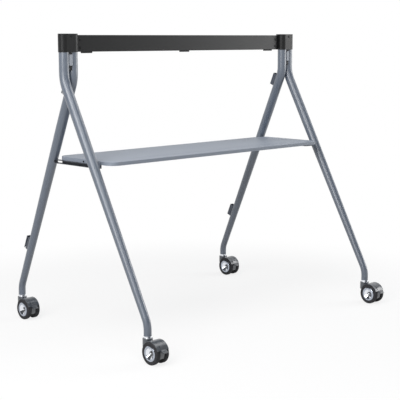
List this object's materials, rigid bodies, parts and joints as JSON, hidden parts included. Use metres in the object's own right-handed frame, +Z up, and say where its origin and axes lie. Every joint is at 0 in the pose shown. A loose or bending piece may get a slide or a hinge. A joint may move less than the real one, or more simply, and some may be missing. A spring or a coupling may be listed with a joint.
{
  "type": "mobile tv stand",
  "caption": "Rolling stand with splayed bent tube legs, black cross beam for a display, folded sheet shelf, cable clips and braked twin-wheel casters.",
  "frame": {"origin": "on the floor, under the middle of the whole stand's extents", "axes": "+Z up, +X to the viewer's right along the beam when facing the screen side, the screen side faces -Y"},
  "size_m": [1.5192, 1.0896, 1.331],
  "materials": {
    "leg_paint": "satin blue-grey powder coat",
    "beam_paint": "matt black powder coat",
    "black_plastic": "fine-grained black moulding",
    "bare_metal": "satin bare metal",
    "clip_plastic": "matt grey moulding",
    "dark_fixing": "blackened steel screws",
    "pin_steel": "turned steel",
    "chrome_trim": "bright chrome plating",
    "hood_plastic": "dark semi-gloss moulding",
    "pedal_plastic": "dark matt moulding",
    "tyre_rubber": "smooth dark polyurethane tread"
  },
  "bodies": {
    "stand": {"left_front_leg": "leg_paint", "left_rear_leg": "leg_paint", "left_end_cap": "black_plastic", "left_leg_spacer": "black_plastic", "left_tie_plate": "bare_metal", "left_beam_spigot": "bare_metal", "left_shelf_rail": "leg_paint", "left_shelf_bracket": "leg_paint", "left_upper_cable_clip": "clip_plastic", "left_lower_cable_clip": "clip_plastic", "right_front_leg": "leg_paint", "right_rear_leg": "leg_paint", "right_end_cap": "black_plastic", "right_leg_spacer": "black_plastic", "right_tie_plate": "bare_metal", "right_beam_spigot": "bare_metal", "right_shelf_rail": "leg_paint", "right_shelf_bracket": "leg_paint", "right_upper_cable_clip": "clip_plastic", "right_lower_cable_clip": "clip_plastic", "beam": "beam_paint", "cap_screws": "dark_fixing", "beam_screws": "dark_fixing", "shelf_bolts": "dark_fixing", "shelf_nuts": "dark_fixing", "left_rest_pad": "black_plastic", "middle_rest_pad": "black_plastic", "right_rest_pad": "black_plastic", "shelf": "leg_paint", "caster_stems": "pin_steel", "caster_collars": "chrome_trim", "leg_foot_sockets": "black_plastic"},
    "left_front_caster": {"left_front_caster_housing": "hood_plastic", "left_front_axle": "pin_steel"},
    "left_front_pedal": {"left_front_brake_pedal": "pedal_plastic"},
    "left_front_left_wheel": {"left_front_left_tyre": "tyre_rubber", "left_front_left_hub": "chrome_trim"},
    "left_front_right_wheel": {"left_front_right_tyre": "tyre_rubber", "left_front_right_hub": "chrome_trim"},
    "left_rear_caster": {"left_rear_caster_housing": "hood_plastic", "left_rear_axle": "pin_steel"},
    "left_rear_pedal": {"left_rear_brake_pedal": "pedal_plastic"},
    "left_rear_left_wheel": {"left_rear_left_tyre": "tyre_rubber", "left_rear_left_hub": "chrome_trim"},
    "left_rear_right_wheel": {"left_rear_right_tyre": "tyre_rubber", "left_rear_right_hub": "chrome_trim"},
    "right_front_caster": {"right_front_caster_housing": "hood_plastic", "right_front_axle": "pin_steel"},
    "right_front_pedal": {"right_front_brake_pedal": "pedal_plastic"},
    "right_front_left_wheel": {"right_front_left_tyre": "tyre_rubber", "right_front_left_hub": "chrome_trim"},
    "right_front_right_wheel": {"right_front_right_tyre": "tyre_rubber", "right_front_right_hub": "chrome_trim"},
    "right_rear_caster": {"right_rear_caster_housing": "hood_plastic", "right_rear_axle": "pin_steel"},
    "right_rear_pedal": {"right_rear_brake_pedal": "pedal_plastic"},
    "right_rear_left_wheel": {"right_rear_left_tyre": "tyre_rubber", "right_rear_left_hub": "chrome_trim"},
    "right_rear_right_wheel": {"right_rear_right_tyre": "tyre_rubber", "right_rear_right_hub": "chrome_trim"}
  },
  "joints": [
    {"name": "left_front_swivel", "type": "hinge", "parent": "stand", "child": "left_front_caster", "pos_m": [-0.725, -0.4327, 0.081], "axis": [0, 0, 1], "continuous": true},
    {"name": "left_front_pedal_press", "type": "hinge", "parent": "left_front_caster", "child": "left_front_pedal", "pos_m": [-0.725, -0.50888, 0.07293], "axis": [1, 0, 0], "range_deg": [0, 6]},
    {"name": "left_front_left_wheel_spin", "type": "hinge", "parent": "left_front_caster", "child": "left_front_left_wheel", "pos_m": [-0.725, -0.4802, 0.048], "axis": [1, 0, 0], "continuous": true},
    {"name": "left_front_right_wheel_spin", "type": "hinge", "parent": "left_front_caster", "child": "left_front_right_wheel", "pos_m": [-0.725, -0.4802, 0.048], "axis": [1, 0, 0], "continuous": true},
    {"name": "left_rear_swivel", "type": "hinge", "parent": "stand", "child": "left_rear_caster", "pos_m": [-0.6796, 0.5233, 0.081], "axis": [0, 0, 1], "continuous": true},
    {"name": "left_rear_pedal_press", "type": "hinge", "parent": "left_rear_caster", "child": "left_rear_pedal", "pos_m": [-0.6796, 0.44712, 0.07293], "axis": [1, 0, 0], "range_deg": [0, 6]},
    {"name": "left_rear_left_wheel_spin", "type": "hinge", "parent": "left_rear_caster", "child": "left_rear_left_wheel", "pos_m": [-0.6796, 0.4758, 0.048], "axis": [1, 0, 0], "continuous": true},
    {"name": "left_rear_right_wheel_spin", "type": "hinge", "parent": "left_rear_caster", "child": "left_rear_right_wheel", "pos_m": [-0.6796, 0.4758, 0.048], "axis": [1, 0, 0], "continuous": true},
    {"name": "right_front_swivel", "type": "hinge", "parent": "stand", "child": "right_front_caster", "pos_m": [0.725, -0.4327, 0.081], "axis": [0, 0, 1], "continuous": true},
    {"name": "right_front_pedal_press", "type": "hinge", "parent": "right_front_caster", "child": "right_front_pedal", "pos_m": [0.725, -0.50888, 0.07293], "axis": [1, 0, 0], "range_deg": [0, 6]},
    {"name": "right_front_left_wheel_spin", "type": "hinge", "parent": "right_front_caster", "child": "right_front_left_wheel", "pos_m": [0.725, -0.4802, 0.048], "axis": [1, 0, 0], "continuous": true},
    {"name": "right_front_right_wheel_spin", "type": "hinge", "parent": "right_front_caster", "child": "right_front_right_wheel", "pos_m": [0.725, -0.4802, 0.048], "axis": [1, 0, 0], "continuous": true},
    {"name": "right_rear_swivel", "type": "hinge", "parent": "stand", "child": "right_rear_caster", "pos_m": [0.6796, 0.5233, 0.081], "axis": [0, 0, 1], "continuous": true},
    {"name": "right_rear_pedal_press", "type": "hinge", "parent": "right_rear_caster", "child": "right_rear_pedal", "pos_m": [0.6796, 0.44712, 0.07293], "axis": [1, 0, 0], "range_deg": [0, 6]},
    {"name": "right_rear_left_wheel_spin", "type": "hinge", "parent": "right_rear_caster", "child": "right_rear_left_wheel", "pos_m": [0.6796, 0.4758, 0.048], "axis": [1, 0, 0], "continuous": true},
    {"name": "right_rear_right_wheel_spin", "type": "hinge", "parent": "right_rear_caster", "child": "right_rear_right_wheel", "pos_m": [0.6796, 0.4758, 0.048], "axis": [1, 0, 0], "continuous": true}
  ]
}
